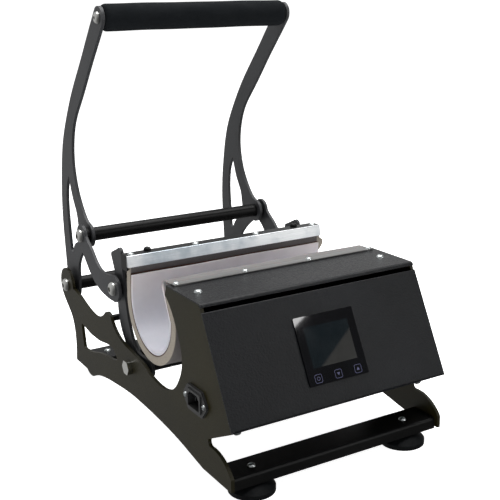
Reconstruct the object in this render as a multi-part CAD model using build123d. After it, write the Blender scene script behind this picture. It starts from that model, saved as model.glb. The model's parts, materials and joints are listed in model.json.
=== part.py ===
from build123d import *
import math
import os

# Mug heat press: two profiled side plates carry a control box in front, a U-shaped silicone heating mat behind
# it, and a hand lever whose links push two clamp arms and a clamp bar towards the box.
#
# Millimetres, +Z up, +X to the right, front at -Y. Outlines are (y, z) points in the bench frame, whose y = 0 is
# the axis of the front foot screws and whose z = 0 is the table. write() moves each node back by CENTRE_Y,
# so that the written model stands centred over its origin.

# ---- driving dimensions -------------------------------------------------------------------------------------
CENTRE_Y = 210.2  # bench y of the middle of the machine's depth

HALF_WIDTH = 135.0  # outer face of a side plate, and of a link
PLATE = 4.0  # thickness of every profiled plate
PLATE_GAP = 4.5  # space between the outer and the inner layer of plates
PLAY = 0.1  # axial play beside a turning face
RUNNING = 0.05  # radial clearance of a pivot bolt in the hole it turns in
OPEN_PIVOT = 0.3  # gap at the pivot where the linkage is opened

INSIDE = HALF_WIDTH - PLATE  # inner face of a side plate
ARM_OUT = INSIDE - PLATE_GAP  # outer face of a clamp arm
ARM_IN = ARM_OUT - PLATE  # inner face of a clamp arm
LEVER_OUT = ARM_OUT - 1.3  # outer face of a lever plate
LEVER_IN = LEVER_OUT - PLATE  # inner face of a lever plate

LEVER_PIVOT = (420.6, 115.4)
LINK_PIVOT = (354.0, 197.5)
ARM_LINK_PIVOT = (254.8, 153.5)
ARM_PIVOT = (217.0, 67.0)
GRIP_AXIS = (280.0, 466.0)

BOLT_R = 5.0  # M10 shank
BOLT_HEAD_R = 8.75
BOLT_HEAD_H = 5.5
BOLT_REACH = 22.0  # thread length inside a rod
ROD_R = 8.8  # cross rods of the lever
SPACER_R = 9.5
NUT_FLATS = 16.0
NUT_H = 8.0

GRIP_R = 15.5  # foam sleeve
GRIP_TUBE_R = 9.0
GRIP_BOLT_R = 4.0
GRIP_HEAD_R = 6.0

FOOT_X = 98.6
FOOT_REAR_Y = 379.6
FOOT_R = 25.0
FOOT_RIM_H = 5.0
FOOT_CUP_H = 13.4
FOOT_NECK_R = 8.0
RAIL_TOP = 26.5
RAIL_SHEET = 2.0
FRONT_RAIL = (-17.2, 20.5)  # front and rear of the front rail
REAR_RAIL = (357.0, 398.0)
RAIL_LIP_Z = 14.0

SHEET = 1.5  # thickness of the control box sheets
PANEL_FOOT = (-26.2, 81.0)  # lower front edge of the control panel
PANEL_HEAD = (32.9, 195.7)  # where the panel's plane meets the top's plane
BOX_TOP_Z = 196.4
BOX_REAR_Y = 108.5
PANEL_LENGTH = math.dist(PANEL_FOOT, PANEL_HEAD)
PANEL_LEAN = math.degrees(math.atan2(PANEL_HEAD[0] - PANEL_FOOT[0], PANEL_HEAD[1] - PANEL_FOOT[1]))
GROOVE = (121.0, 125.8)  # gap between panel and top cover, measured up the panel

GLASS_W = 74.5
GLASS_V = (24.0, 96.0)  # lower and upper edge of the display glass, measured up the panel
GLASS_T = 1.6
SCREEN_W = 55.5
SCREEN_V = (41.7, 84.5)
KEY_X = (-25.0, 0.0, 25.0)
KEY_V = 30.7
KEY_SIZE = 9.0
KEY_LINE = 0.45

SCREW_HEAD_R = 3.6
SCREW_R = 1.9
TOP_SCREW = (117.5, 69.0)  # x and y of the top cover's screws
BOTTOM_SCREW_X = 116.0
BOTTOM_SCREW_BACK = 26.0  # behind the panel, along the box's lower flange
PANEL_BEND = 3.0  # outer radius of the panel's lower bend
FLANGE_DEPTH = 44.0  # of the panel's lower flange, square to the panel
RETURN_DEPTH = 5.5  # of the panel's upper edge, behind the groove
HEAD_BEND = (2.5, 2.8)  # where the top cover's front bend starts on its outer and inner face

MAT_HALF = 130.0
MAT_PAD = 3.5  # silicone heating pad
MAT_COVER = 11.5  # insulating cover outside the pad
MAT_CENTRE = (163.0, 152.5)  # axis of the round part of the mat
MAT_INNER_R = 48.5
MAT_SPLIT = (-98.0, -62.0)  # the two halves stop at these angles, below the axis
FRONT_LEAN = 15.0  # how far the front flank leans back at its top
REAR_LEAN = 4.0
MAT_FRONT_TOP = 186.0  # where the front pad thins out into its flap
FRONT_COVER_TOP = 181.5
REAR_PAD_TOP = 181.0
REAR_COVER_TOP = 189.6

STRIP_Y = 102.5  # flat bar that holds the mat's flap on the box
STRIP_HALF_D = 4.5
STRIP_T = 1.0
MAT_FLAP = 0.6  # thin end flap of the pad, under the strip
STRIP_SCREW = 4.5

BAR_HALF = 133.5  # of the bar's front lip
BAR_REAR_HALF = 131.5  # of its rear part, between the cheeks
BAR_FRONT = (209.5, 190.0)  # lower front edge of the clamp bar
BAR_TOP_Z = 203.1
BAR_LEAN = 2.8  # how far the bar's front face leans back over its height
BAR_STEP_Y = 213.5  # the bracket's flange lies in a step behind this edge
BAR_REAR = 223.5
BAR_SCREW_X = 126.0
BAR_SCREW_Y = 218.6
BRACKET_T = 2.0
BRACKET_WALL = 230.0  # rear face of the bracket's upright wall
BRACKET_SHELF = (188.0, 262.0)  # underside and rear edge of the shelf between the arms
CHEEK_Z = 184.5  # lower edge of the cheeks at the bar's ends
BRACKET_BOLT = (102.0, 225.3)  # x and y of the two black bolts

STOP_ROD = (279.0, 108.5)
STOP_ROD_R = 4.0
FOOT_BAR = (182.0, 78.0)
FOOT_BAR_R = 6.5

DISPLAY_BOARD = (92.0, 88.0, 1.6)
PILLAR_PLACE = (42.0, 40.0)  # of the display board's pillars, from its middle
DISPLAY_GAP = 1.9  # between the panel and the display board
DISPLAY_T = 3.4  # of the display module
PILLAR_STUD_R = 1.5
POWER_BOARD = (110.0, 1.6, 70.0)
POWER_BOARD_AT = (52.0, 60.4, 112.0)
SPACER_X = (2.0, 102.0)
SPACER_Z = (82.0, 142.0)
TERMINALS = (5, 9.0)  # number and pitch
TERMINAL_AT = (70.0, 88.0)  # x and z
TERMINAL_SIZE = (46.0, 13.0, 14.0)
WALL_KNEE = (71.5, 130.4)  # inner face of the tray's back wall: where it bends
WALL_LOW = (69.0, 61.5)
WALL_HIGH = (84.6, 163.6)

INLET_CENTRE = (45.3, 90.0)
INLET_SCREWS = 40.0
INLET_BODY = (27.0, 19.5)
INLET_FLANGE = (50.0, 28.0)
INLET_FLANGE_T = 3.0
PIN_PLACES = ((-7, -2), (7, -2), (0, 2))
PIN_SIZE = (2.0, 4.0)

X_AXIS = (1, 0, 0)


# ---- shared shapes ------------------------------------------------------------------------------------------
def outline(start, *runs):
    """Closed face in the YZ plane. A run of one point is a line, of two an arc, of more a smooth curve."""
    edges = []
    here = start
    for run in runs:
        if len(run) == 1:
            edges.append(Line(here, run[0]))
        elif len(run) == 2:
            edges.append(ThreePointArc(here, run[0], run[1]))
        else:
            edges.append(Spline(here, *run))
        here = run[-1]
    if math.dist(here, start) > 1e-6:
        edges.append(Line(here, start))
    return make_face(edges)


def across(face, x_from, x_to):
    """Extrude a YZ face from one x to another."""
    return extrude(Plane.YZ.offset(x_from) * face, x_to - x_from, dir=X_AXIS)


def disc(centre, radius):
    return Pos(centre[0], centre[1]) * Circle(radius)


def rod(centre, radius, x_from, x_to):
    """Round bar along X."""
    return across(disc(centre, radius), x_from, x_to)


def ring(centre, outer, inner, x_from, x_to):
    return across(disc(centre, outer) - disc(centre, inner), x_from, x_to)


def polar(centre, radius, degrees):
    angle = math.radians(degrees)
    return (centre[0] + radius * math.cos(angle), centre[1] + radius * math.sin(angle))


def mirrored(part):
    return mirror(part, about=Plane.YZ)


def both(part):
    return Compound(children=[part, mirrored(part)])


def panel_plane(up):
    """Plane on the control panel's outer face: x to the right, y up the panel, z out of it."""
    y = PANEL_FOOT[0] + up * math.sin(math.radians(PANEL_LEAN))
    z = PANEL_FOOT[1] + up * math.cos(math.radians(PANEL_LEAN))
    return Plane(origin=(0, y, z), x_dir=(1, 0, 0), z_dir=panel_normal())


def panel_normal():
    lean = math.radians(PANEL_LEAN)
    return (0, -math.cos(lean), math.sin(lean))


def panel_point(up, depth):
    """(y, z) of a point up the panel and behind its outer face."""
    lean = math.radians(PANEL_LEAN)
    y = PANEL_FOOT[0] + up * math.sin(lean) + depth * math.cos(lean)
    z = PANEL_FOOT[1] + up * math.cos(lean) - depth * math.sin(lean)
    return (y, z)


def button_bolt(radius, head_r, head_h, length, key):
    """Button-head bolt: the head's underside is at z = 0, the head is above and the shank below."""
    crown = head_h * 0.92
    side = head_h * 0.22
    profile = make_face(
        [
            Line((0, 0), (head_r, 0)),
            Line((head_r, 0), (head_r, side)),
            ThreePointArc((head_r, side), (head_r * 0.80, crown * 0.80), (head_r * 0.45, head_h)),
            Line((head_r * 0.45, head_h), (0, head_h)),
            Line((0, head_h), (0, 0)),
        ]
    )
    head = revolve(Plane.XZ * profile, Axis.Z)
    head = head - Pos(0, 0, head_h * 0.35) * extrude(RegularPolygon(key, 6), head_h)
    shank = Pos(0, 0, -length) * extrude(Circle(radius), length)
    return head + shank


def pan_screw(radius, head_r, head_h, length):
    """Domed screw with a cross recess: the head's underside is at z = 0."""
    profile = make_face(
        [
            Line((0, 0), (head_r, 0)),
            ThreePointArc((head_r, 0), (head_r * 0.72, head_h * 0.72), (0, head_h)),
            Line((0, head_h), (0, 0)),
        ]
    )
    head = revolve(Plane.XZ * profile, Axis.Z)
    for turn in (0, 90):
        slot = extrude(Rectangle(head_r * 1.05, head_r * 0.24), head_h)
        head = head - Pos(0, 0, head_h * 0.45) * Rot(0, 0, turn) * slot
    shank = Pos(0, 0, -length) * extrude(Circle(radius), length)
    return head + shank


def bolt_left(centre, face_x, radius, head_r, head_h, length, key=3.5):
    """A button bolt that enters from the left, with its head on the plane x = face_x."""
    place = Plane(origin=(face_x, centre[0], centre[1]), x_dir=(0, 1, 0), z_dir=(-1, 0, 0))
    return place * button_bolt(radius, head_r, head_h, length, key)


# ---- side plates and rails ----------------------------------------------------------------------------------
def side_plate_face():
    lug = LEVER_PIVOT
    face = outline(
        polar(lug, 23, -48),
        [(421, 86), (407, 73.5), (400.5, 57), (399, 38), (402, 14)],
        [(363, 14)],
        [(353.5, 10), (335, 14)],
        [(318, 20), (293, 25), (258, 29), (222, 32), (198, 32.3), (166, 31.5), (131, 29.5), (98, 26.3),
         (63, 20.8), (37, 16.3)],
        [(-22, 16.3)],
        [(-22, 30)],
        [(-7.5, 43), (17.5, 48.6)],
        [(23.4, 52.4), (19.5, 57.6)],
        [panel_point(0, SHEET)],
        [panel_point(PANEL_LENGTH - HEAD_BEND[1], SHEET)],
        [(PANEL_HEAD[0] + 4.2, BOX_TOP_Z - SHEET)],
        [(BOX_REAR_Y, BOX_TOP_Z - SHEET)],
        [(112, 185)],
        [(98, 171.5), (88, 156), (79.5, 138), (77.5, 118), (86, 97.5), (99, 83), (118, 74.5), (142, 73.5),
         (163, 77)],
        [(178, 83), (198, 86), (216, 88.5), (240, 92), (253, 97), (262, 103.5), (267, 109)],
        [(276, 116.6), (289.5, 112.4)],
        [(300, 106), (312, 101.5), (325, 100), (337, 101.3), (351, 104.5), (372, 111), (397.6, 115.4)],
        [polar(lug, 23, 90), polar(lug, 23, -48)],
    )
    window = outline(
        (256, 62.5),
        [(272, 58), (286, 56.5), (319, 51), (338, 45.5), (362, 42)],
        [(367.5, 42.5), (369.5, 47)],
        [(373.3, 70)],
        [(372.5, 73.5), (368, 74)],
        [(353, 72), (339, 70), (324, 69.8), (311, 70), (288, 73.5), (274, 74)],
        [(262, 70), (256, 62.5)],
    )
    holes = disc(LEVER_PIVOT, BOLT_R + RUNNING) + disc(ARM_PIVOT, BOLT_R + RUNNING)
    return face - window - holes


def inlet_opening():
    """Cut-out and screw holes for the mains inlet."""
    width, height = INLET_BODY
    opening = Pos(*INLET_CENTRE) * Rectangle(width, height)
    for side in (-1, 1):
        opening = opening + disc((INLET_CENTRE[0] + side * INLET_SCREWS / 2, INLET_CENTRE[1]), 1.5)
    return opening


def side_plate_left():
    return across(side_plate_face(), -HALF_WIDTH, -INSIDE) - across(inlet_opening(), -HALF_WIDTH, -INSIDE)


def side_plate_right():
    return across(side_plate_face(), INSIDE, HALF_WIDTH)


def rail(front, rear):
    """Bent channel between the side plates, open below."""
    section = outline(
        (front, RAIL_LIP_Z),
        [(front, RAIL_TOP - 3)],
        [(front + 0.9, RAIL_TOP - 0.9), (front + 3, RAIL_TOP)],
        [(rear - 3, RAIL_TOP)],
        [(rear - 0.9, RAIL_TOP - 0.9), (rear, RAIL_TOP - 3)],
        [(rear, RAIL_LIP_Z)],
        [(rear - RAIL_SHEET, RAIL_LIP_Z)],
        [(rear - RAIL_SHEET, RAIL_TOP - 3)],
        [(rear - RAIL_SHEET - 0.3, RAIL_TOP - RAIL_SHEET - 0.3), (rear - 3, RAIL_TOP - RAIL_SHEET)],
        [(front + 3, RAIL_TOP - RAIL_SHEET)],
        [(front + RAIL_SHEET + 0.3, RAIL_TOP - RAIL_SHEET - 0.3), (front + RAIL_SHEET, RAIL_TOP - 3)],
        [(front + RAIL_SHEET, RAIL_LIP_Z)],
    )
    return across(section, -INSIDE, INSIDE)


def front_rail():
    channel = rail(*FRONT_RAIL)
    for side in (-1, 1):
        channel = channel - Pos(side * FOOT_X, 0, RAIL_TOP - RAIL_SHEET) * extrude(Circle(2.6), RAIL_SHEET)
    return channel


def rear_rail():
    channel = rail(*REAR_RAIL)
    for side in (-1, 1):
        place = Pos(side * FOOT_X, FOOT_REAR_Y, RAIL_TOP - RAIL_SHEET)
        channel = channel - place * extrude(Circle(2.6), RAIL_SHEET)
    return channel


def suction_foot(radius):
    """Rubber cup with a hollow underside, a rim and a neck up to the rail."""
    neck_top = RAIL_TOP - RAIL_SHEET
    profile = make_face(
        [
            Line((0, 5), (0, neck_top)),
            Line((0, neck_top), (FOOT_NECK_R, neck_top)),
            Line((FOOT_NECK_R, neck_top), (FOOT_NECK_R, FOOT_CUP_H + 1)),
            ThreePointArc((FOOT_NECK_R, FOOT_CUP_H + 1), (radius * 0.62, FOOT_CUP_H * 0.86), (radius, FOOT_RIM_H)),
            Line((radius, FOOT_RIM_H), (radius, 0)),
            Line((radius, 0), (radius - 3.5, 0)),
            ThreePointArc((radius - 3.5, 0), (radius * 0.5, 3.4), (3, 5)),
            Line((3, 5), (0, 5)),
        ]
    )
    cup = revolve(Plane.XZ * profile, Axis.Z)
    return cup - Pos(0, 0, 8) * extrude(Circle(2.5), neck_top)


def foot_places():
    front = [Pos(side * FOOT_X, 0, 0) for side in (-1, 1)]
    rear = [Pos(side * FOOT_X, FOOT_REAR_Y, 0) for side in (-1, 1)]
    return front + rear


def suction_feet():
    return Compound(children=[place * suction_foot(FOOT_R) for place in foot_places()])


def foot_screws():
    screw = Pos(0, 0, RAIL_TOP) * pan_screw(2.5, 4.4, 2.4, RAIL_TOP - 8)
    return Compound(children=[place * screw for place in foot_places()])


def stop_rod():
    return rod(STOP_ROD, STOP_ROD_R, -INSIDE, INSIDE)


# ---- control box --------------------------------------------------------------------------------------------
def front_panel():
    """Leaning panel sheet with a display window, and a lower flange square to it."""
    top = GROOVE[0]
    bend = PANEL_BEND
    crown = [panel_point(top - SHEET * 0.3, SHEET * 0.3), panel_point(top, SHEET)]
    section = outline(
        panel_point(bend, 0),
        [panel_point(top - SHEET, 0)],
        crown,
        [panel_point(top, RETURN_DEPTH)],
        [panel_point(top - SHEET, RETURN_DEPTH)],
        [panel_point(top - SHEET, SHEET)],
        [panel_point(bend, SHEET)],
        [panel_point(SHEET * 1.3, SHEET * 1.3), panel_point(SHEET, bend)],
        [panel_point(SHEET, FLANGE_DEPTH)],
        [panel_point(0, FLANGE_DEPTH)],
        [panel_point(0, bend)],
        [panel_point(bend * 0.293, bend * 0.293), panel_point(bend, 0)],
    )
    wing = outline(
        panel_point(SHEET, 0),
        [panel_point(top - SHEET, 0)],
        crown,
        [panel_point(0, SHEET)],
        [panel_point(SHEET * 0.293, SHEET * 0.293), panel_point(SHEET, 0)],
    )
    sheet = across(section, -INSIDE, INSIDE)
    sheet = sheet + both(across(wing, -HALF_WIDTH, -INSIDE))
    middle = (GLASS_V[0] + GLASS_V[1]) / 2
    window = Rectangle(GLASS_W - 6, GLASS_V[1] - GLASS_V[0] - 6)
    sheet = sheet - panel_plane(middle) * extrude(window, -SHEET * 2)
    for side in (-1, 1):
        sheet = sheet - lower_flange_plane(side) * Pos(0, 0, -SHEET) * extrude(Circle(SCREW_R), SHEET)
    return sheet


def lower_flange_plane(side):
    """Plane on the underside of the panel's lower flange, at one of its screws."""
    y, z = panel_point(0, BOTTOM_SCREW_BACK)
    lean = math.radians(PANEL_LEAN)
    down = (0, -math.sin(lean), -math.cos(lean))
    return Plane(origin=(side * BOTTOM_SCREW_X, y, z), x_dir=(1, 0, 0), z_dir=down)


def top_cover():
    """Top sheet with a lip bent down in the panel's plane in front, and a short rear lip under the mat strip."""
    lip = GROOVE[1]
    section = outline(
        panel_point(lip, 0),
        [panel_point(PANEL_LENGTH - HEAD_BEND[0], 0)],
        [(PANEL_HEAD[0] + 0.1, BOX_TOP_Z - 1.0), (PANEL_HEAD[0] + 3.6, BOX_TOP_Z)],
        [(BOX_REAR_Y, BOX_TOP_Z)],
        [(BOX_REAR_Y, BOX_TOP_Z - SHEET)],
        [(PANEL_HEAD[0] + 4.2, BOX_TOP_Z - SHEET)],
        [(PANEL_HEAD[0] + 2.1, BOX_TOP_Z - SHEET - 0.6), panel_point(PANEL_LENGTH - HEAD_BEND[1], SHEET)],
        [panel_point(lip, SHEET)],
    )
    cover = across(section, -HALF_WIDTH, HALF_WIDTH)
    for side in (-1, 1):
        place = Pos(side * TOP_SCREW[0], TOP_SCREW[1], BOX_TOP_Z - SHEET)
        cover = cover - place * extrude(Circle(SCREW_R), SHEET)
    for x in mat_screw_x():
        cover = cover - Pos(x, STRIP_Y, BOX_TOP_Z - SHEET) * extrude(Circle(SCREW_R), SHEET)
    return cover


def back_tray():
    """Inner sheet that closes the box behind the electronics and below them, with a top flange under the cover."""
    under = BOX_TOP_Z - SHEET
    flange_end = panel_point(SHEET, 12)
    corner = panel_point(SHEET, FLANGE_DEPTH)
    section = outline(
        (74, under),
        [(BOX_REAR_Y - 1, under)],
        [(86, 163)],
        [(73, 130)],
        [(70.5, 60)],
        [corner],
        [flange_end],
        [panel_point(2 * SHEET, 12)],
        [panel_point(2 * SHEET, FLANGE_DEPTH - 1)],
        [WALL_LOW],
        [WALL_KNEE],
        [WALL_HIGH],
        [(104.6, under - SHEET)],
        [(74, under - SHEET)],
    )
    tray = across(section, -INSIDE, INSIDE)
    for side in (-1, 1):
        place = lower_flange_plane(side) * Pos(0, 0, -2 * SHEET)
        tray = tray - place * extrude(Circle(SCREW_R), SHEET)
    for x in mat_screw_x():
        tray = tray - Pos(x, STRIP_Y, under - SHEET) * extrude(Circle(SCREW_R), SHEET)
    return tray


def mat_screw_x():
    return [-BAR_SCREW_X, -BAR_SCREW_X / 3, BAR_SCREW_X / 3, BAR_SCREW_X]


def cover_screws():
    """Two screws through the top cover and two up through the lower flange."""
    screw = pan_screw(SCREW_R, SCREW_HEAD_R + 0.9, 2.8, 9)
    top = [Pos(side * TOP_SCREW[0], TOP_SCREW[1], BOX_TOP_Z) * screw for side in (-1, 1)]
    low = [lower_flange_plane(side) * screw for side in (-1, 1)]
    return Compound(children=top + low)


def mat_strip():
    """Flat bar that holds the front edge of the mat down on the box."""
    top = BOX_TOP_Z + MAT_FLAP
    strip = Pos(0, STRIP_Y, top + STRIP_T / 2) * Box(2 * MAT_HALF, 2 * STRIP_HALF_D, STRIP_T)
    for x in mat_screw_x():
        strip = strip - Pos(x, STRIP_Y, top) * extrude(Circle(SCREW_R), STRIP_T)
    return strip


def mat_strip_screws():
    top = BOX_TOP_Z + MAT_FLAP + STRIP_T
    screw = pan_screw(SCREW_R, SCREW_HEAD_R, 2.2, STRIP_SCREW)
    return Compound(children=[Pos(x, STRIP_Y, top) * screw for x in mat_screw_x()])


def display_glass():
    """Dark touch glass over the window, with shallow pockets for the three lit keys."""
    middle = (GLASS_V[0] + GLASS_V[1]) / 2
    pane = extrude(RectangleRounded(GLASS_W, GLASS_V[1] - GLASS_V[0], 1.5), GLASS_T)
    glass = panel_plane(middle) * pane
    return glass - touch_keys()


def touch_keys():
    """Three lit touch symbols: rounded frames round a ring, a down arrow and an up arrow."""
    frame = RectangleRounded(KEY_SIZE, KEY_SIZE, 2.0)
    frame = frame - RectangleRounded(KEY_SIZE - 2 * KEY_LINE, KEY_SIZE - 2 * KEY_LINE, 2.0 - KEY_LINE)
    dial = Circle(2.0) - Circle(2.0 - KEY_LINE)
    arrow = make_face(Polyline((-1.9, 1.4), (1.9, 1.4), (0, -1.9), (-1.9, 1.4)))
    signs = [dial, arrow, Rot(0, 0, 180) * arrow]
    keys = []
    for x, sign in zip(KEY_X, signs):
        for face in (frame, sign):
            keys.append(panel_plane(KEY_V) * Pos(x, 0, GLASS_T - 0.3) * extrude(face, 0.3))
    return Compound(children=keys)


def display_screen():
    """Colour display module behind the glass."""
    middle = (SCREEN_V[0] + SCREEN_V[1]) / 2
    body = extrude(Rectangle(SCREEN_W, SCREEN_V[1] - SCREEN_V[0]), DISPLAY_T)
    return panel_plane(middle) * Pos(0, 0, -SHEET - DISPLAY_GAP) * body


def pillar_places():
    return [(x * PILLAR_PLACE[0], v * PILLAR_PLACE[1]) for x in (-1, 1) for v in (-1, 1)]


def display_board():
    """Board that carries the display and the touch sensors, on four pillars behind the panel."""
    middle = (GLASS_V[0] + GLASS_V[1]) / 2
    board = extrude(Rectangle(DISPLAY_BOARD[0], DISPLAY_BOARD[1]), DISPLAY_BOARD[2])
    for x, v in pillar_places():
        board = board - Pos(x, v) * extrude(Circle(PILLAR_STUD_R), DISPLAY_BOARD[2])
    return panel_plane(middle) * Pos(0, 0, -SHEET - DISPLAY_GAP - DISPLAY_BOARD[2]) * board


def board_pillars():
    middle = (GLASS_V[0] + GLASS_V[1]) / 2
    stud_length = DISPLAY_BOARD[2] + 2.5
    pillars = []
    for x, v in pillar_places():
        pillar = Pos(x, v, -SHEET - DISPLAY_GAP) * extrude(RegularPolygon(2.6, 6), DISPLAY_GAP)
        stud = Pos(x, v, -SHEET - DISPLAY_GAP - stud_length) * extrude(Circle(PILLAR_STUD_R), stud_length)
        pillars.append(panel_plane(middle) * (pillar + stud))
    return Compound(children=pillars)


def power_board():
    """Mains control board standing on spacers inside the back wall."""
    return Pos(*POWER_BOARD_AT) * Box(*POWER_BOARD)


def board_front(x, depth, z):
    """Middle of a component of this depth, standing on the power board's front face."""
    return Pos(x, POWER_BOARD_AT[1] - POWER_BOARD[1] / 2 - depth / 2, z)


def power_parts():
    """Relay, transformer block, fuse and capacitor on the power board."""
    relay = board_front(20, 16, 128) * Box(19, 16, 15.5)
    block = board_front(60, 22, 122) * Box(32, 22, 27)
    cap = board_front(92, 16, 122) * Rot(90, 0, 0) * Cylinder(5, 16)
    fuse = board_front(30, 6, 98) * Box(22, 6, 6)
    return Compound(children=[relay, block, cap, fuse])


def terminal_block():
    """Screw terminal strip for the mains and heater leads."""
    x, z = TERMINAL_AT
    count, pitch = TERMINALS
    place = board_front(x, TERMINAL_SIZE[1], z)
    block = place * Box(*TERMINAL_SIZE)
    for i in range(count):
        well = Pos((i - (count - 1) / 2) * pitch, 3 - TERMINAL_SIZE[1] / 2, 0) * Rot(90, 0, 0) * Cylinder(2.6, 6)
        block = block - place * well
    return block


def board_spacers():
    back = POWER_BOARD_AT[1] + POWER_BOARD[1] / 2
    spacers = []
    for x in SPACER_X:
        for z in SPACER_Z:
            place = Plane(origin=(x, back, z), z_dir=(0, 1, 0))
            spacers.append(place * extrude(RegularPolygon(3, 6), back_wall_y(z) - back))
    return Compound(children=spacers)


def back_wall_y(z):
    """Just in front of the inner face of the tray's back wall at a height, clear of it over a spacer's height."""
    low, high = (WALL_LOW, WALL_KNEE) if z <= WALL_KNEE[1] else (WALL_KNEE, WALL_HIGH)
    slope = (high[0] - low[0]) / (high[1] - low[1])
    return low[0] + (z - low[1]) * slope - 4 * slope


# ---- mains inlet --------------------------------------------------------------------------------------------
def inlet_plane():
    """Plane on the left plate's outer face at the inlet's centre: x along +Y, z outwards."""
    origin = (-HALF_WIDTH, INLET_CENTRE[0], INLET_CENTRE[1])
    return Plane(origin=origin, x_dir=(0, -1, 0), z_dir=(-1, 0, 0))


def inlet_cavity():
    """Hollow of the three-pin appliance inlet: a rectangle with two cut corners."""
    w, h, cut = 12.2, 8.25, 4.4
    points = [(-w, -h), (w, -h), (w, h - cut), (w - cut, h), (-w + cut, h), (-w, h - cut), (-w, -h)]
    return make_face(Polyline(*points))


def inlet_flange_face():
    """Six-sided flange that narrows to a rounded ear round each screw."""
    width, height = INLET_FLANGE
    ear = 5.0
    half = INLET_SCREWS / 2
    body = Rectangle(width - 4 * ear, height)
    ears = Pos(-half, 0) * Circle(ear) + Pos(half, 0) * Circle(ear)
    return make_hull((body + ears).edges())


def inlet_body():
    flange = extrude(inlet_flange_face(), INLET_FLANGE_T)
    rim = Pos(0, 0, INLET_FLANGE_T) * extrude(RectangleRounded(29.5, 21.5, 3), 1.6)
    socket = Pos(0, 0, -18) * extrude(Rectangle(*INLET_BODY), 18)
    body = flange + rim + socket
    body = body - Pos(0, 0, -15) * extrude(inlet_cavity(), 25)
    for x, y in PIN_PLACES:
        body = body - Pos(x, y, -18) * extrude(Rectangle(*PIN_SIZE), 3)
    for side in (-1, 1):
        body = body - Pos(side * INLET_SCREWS / 2, 0, 0) * extrude(Circle(1.5), INLET_FLANGE_T)
    return inlet_plane() * body


def inlet_pins():
    pins = []
    for x, y in PIN_PLACES:
        blade = Pos(x, y, -24) * extrude(Rectangle(*PIN_SIZE), 24 - 1.5)
        pins.append(inlet_plane() * blade)
    return Compound(children=pins)


def inlet_screws():
    screw = pan_screw(1.5, 3.0, 1.8, 10)
    screws = [inlet_plane() * Pos(side * INLET_SCREWS / 2, 0, INLET_FLANGE_T) * screw for side in (-1, 1)]
    return Compound(children=screws)


# ---- heating mat --------------------------------------------------------------------------------------------
def mat_layer(inner, thickness, half, top):
    """One layer of one half of the mat: a straight flank, then a round part down to the split."""
    outer = inner + thickness
    if half == "front":
        lean = FRONT_LEAN * (top - MAT_CENTRE[1]) / (MAT_FRONT_TOP - MAT_CENTRE[1])
        face = outline(
            (MAT_CENTRE[0] - outer, MAT_CENTRE[1]),
            [polar(MAT_CENTRE, outer, (180 + 360 + MAT_SPLIT[0]) / 2), polar(MAT_CENTRE, outer, MAT_SPLIT[0])],
            [polar(MAT_CENTRE, inner, MAT_SPLIT[0])],
            [polar(MAT_CENTRE, inner, (180 + 360 + MAT_SPLIT[0]) / 2), (MAT_CENTRE[0] - inner, MAT_CENTRE[1])],
            [(MAT_CENTRE[0] - inner + lean, top)],
            [(MAT_CENTRE[0] - outer + lean, top)],
        )
    else:
        lean = REAR_LEAN * (top - MAT_CENTRE[1]) / (REAR_COVER_TOP - MAT_CENTRE[1])
        face = outline(
            (MAT_CENTRE[0] + outer, MAT_CENTRE[1]),
            [polar(MAT_CENTRE, outer, MAT_SPLIT[1] / 2), polar(MAT_CENTRE, outer, MAT_SPLIT[1])],
            [polar(MAT_CENTRE, inner, MAT_SPLIT[1])],
            [polar(MAT_CENTRE, inner, MAT_SPLIT[1] / 2), (MAT_CENTRE[0] + inner, MAT_CENTRE[1])],
            [(MAT_CENTRE[0] + inner - lean, top)],
            [(MAT_CENTRE[0] + outer - lean, top)],
        )
    return across(face, -MAT_HALF, MAT_HALF)


def mat_front_pad():
    """Pad of the front half, thinning at its top into the flap that the strip clamps on the box."""
    pad = mat_layer(MAT_INNER_R, MAT_PAD, "front", MAT_FRONT_TOP)
    face_y = MAT_CENTRE[0] - MAT_INNER_R + FRONT_LEAN
    flap_top = BOX_TOP_Z + MAT_FLAP
    flap = outline(
        (face_y, MAT_FRONT_TOP),
        [(face_y + 0.7, MAT_FRONT_TOP + 6.2), (face_y - 5, flap_top)],
        [(STRIP_Y - STRIP_HALF_D, flap_top)],
        [(STRIP_Y - STRIP_HALF_D, BOX_TOP_Z)],
        [(face_y - 10, BOX_TOP_Z)],
        [(face_y - 4.9, MAT_FRONT_TOP + 6.6), (face_y - MAT_PAD, MAT_FRONT_TOP)],
    )
    pad = pad + across(flap, -MAT_HALF, MAT_HALF)
    for x in mat_screw_x():
        pad = pad - Pos(x, STRIP_Y, BOX_TOP_Z) * extrude(Circle(SCREW_R), MAT_FLAP)
    return pad


def mat_front_cover():
    return mat_layer(MAT_INNER_R + MAT_PAD, MAT_COVER, "front", FRONT_COVER_TOP)


def mat_rear_pad():
    return mat_layer(MAT_INNER_R, MAT_PAD, "rear", REAR_PAD_TOP)


def mat_rear_cover():
    return mat_layer(MAT_INNER_R + MAT_PAD, MAT_COVER, "rear", REAR_COVER_TOP)


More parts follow.
